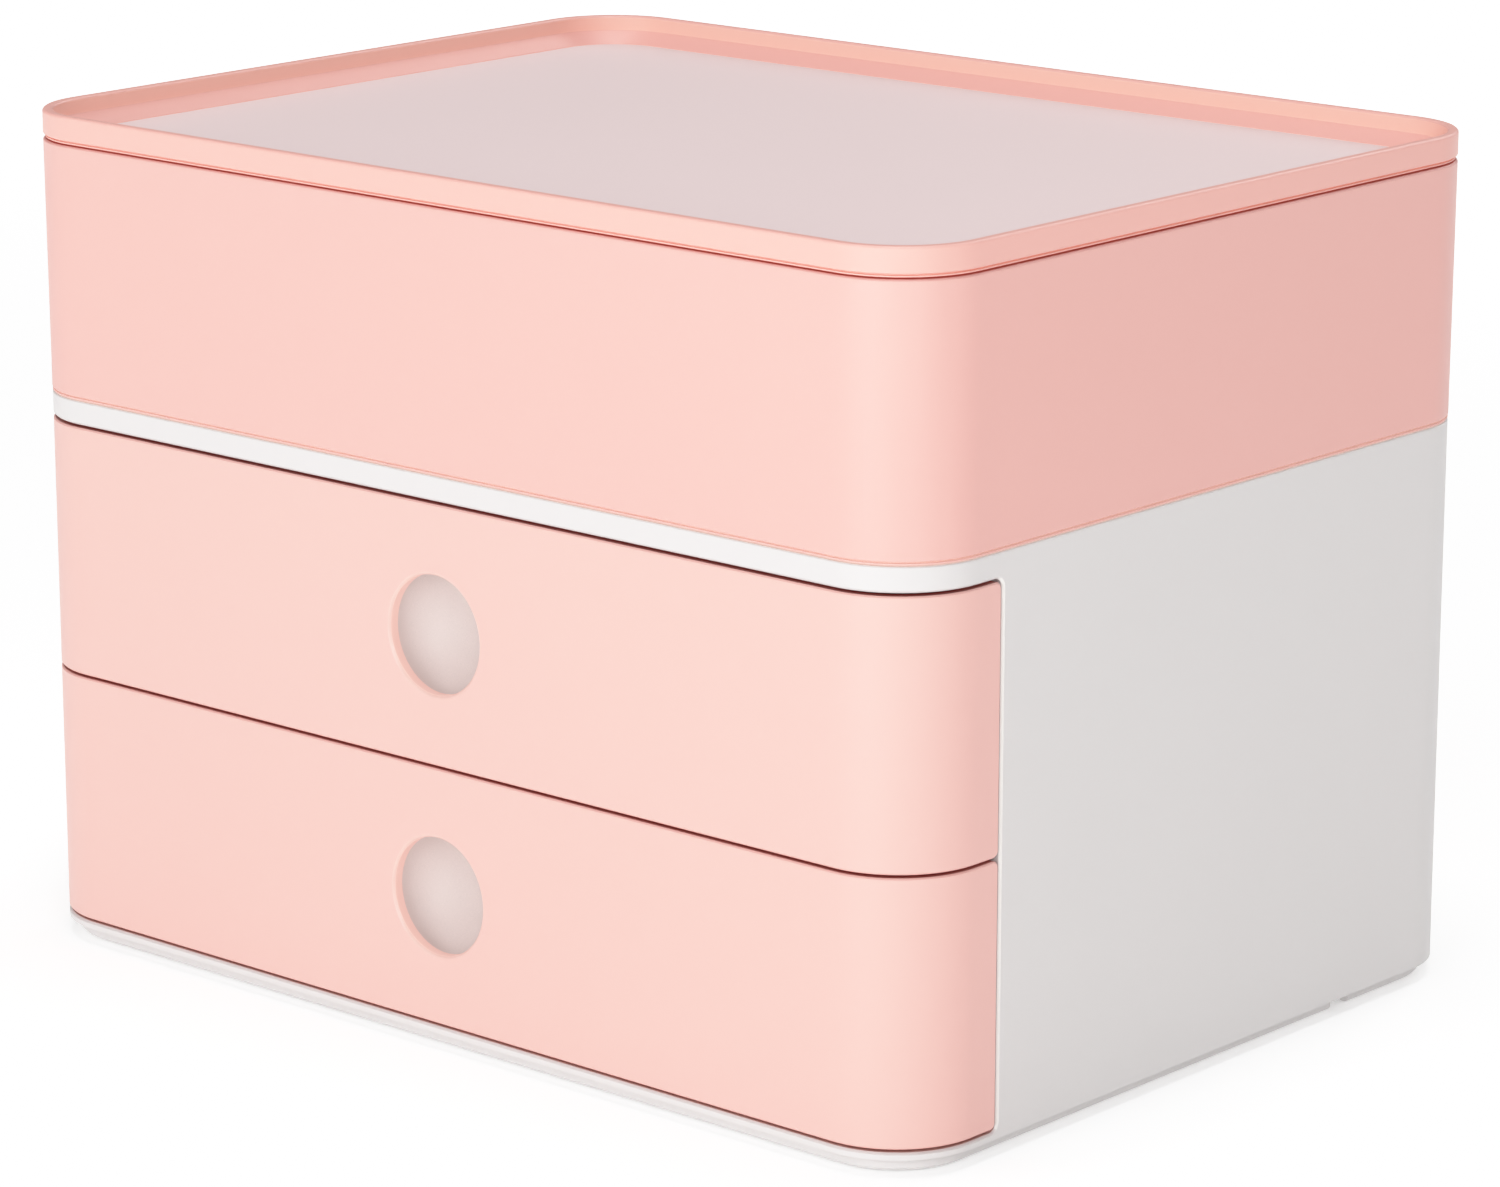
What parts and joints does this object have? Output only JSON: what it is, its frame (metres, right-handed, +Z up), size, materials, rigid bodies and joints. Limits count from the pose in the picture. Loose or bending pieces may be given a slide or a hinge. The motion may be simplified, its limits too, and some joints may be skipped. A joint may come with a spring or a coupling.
{
  "type": "file box with drawer",
  "caption": "Desk organizer with stacked drawers that have round finger holes, a lift-off bin on top and a rimmed tray lid.",
  "frame": {"origin": "centre of the footprint, on the surface that the feet stand on", "axes": "+Z up, the drawers open towards -Y, +X to the right seen from the front"},
  "size_m": [0.26, 0.195, 0.189],
  "materials": {
    "housing_plastic": "satin",
    "tray_plastic": "satin",
    "front_plastic": "satin",
    "box_plastic": "satin",
    "lid_plastic": "satin",
    "panel_plastic": "matte",
    "foot_rubber": "matte"
  },
  "bodies": {
    "case": {"housing": "housing_plastic", "foot_front_left": "foot_rubber", "foot_front_right": "foot_rubber", "foot_back_left": "foot_rubber", "foot_back_right": "foot_rubber"},
    "lower_drawer": {"lower_drawer_tray": "tray_plastic", "lower_drawer_front": "front_plastic"},
    "upper_drawer": {"upper_drawer_tray": "tray_plastic", "upper_drawer_front": "front_plastic"},
    "bin": {"utility_box": "box_plastic"},
    "lid": {"lid_tray": "lid_plastic", "lid_panel": "panel_plastic"}
  },
  "joints": [
    {"name": "lower_drawer_slide", "type": "slide", "parent": "case", "child": "lower_drawer", "axis": [0, -1, 0], "range_m": [0, 0.13]},
    {"name": "upper_drawer_slide", "type": "slide", "parent": "case", "child": "upper_drawer", "axis": [0, -1, 0], "range_m": [0, 0.13]},
    {"name": "bin_lift", "type": "slide", "parent": "case", "child": "bin", "axis": [0, 0, 1], "range_m": [0, 0.1]},
    {"name": "lid_lift", "type": "slide", "parent": "bin", "child": "lid", "axis": [0, 0, 1], "range_m": [0, 0.1]}
  ]
}
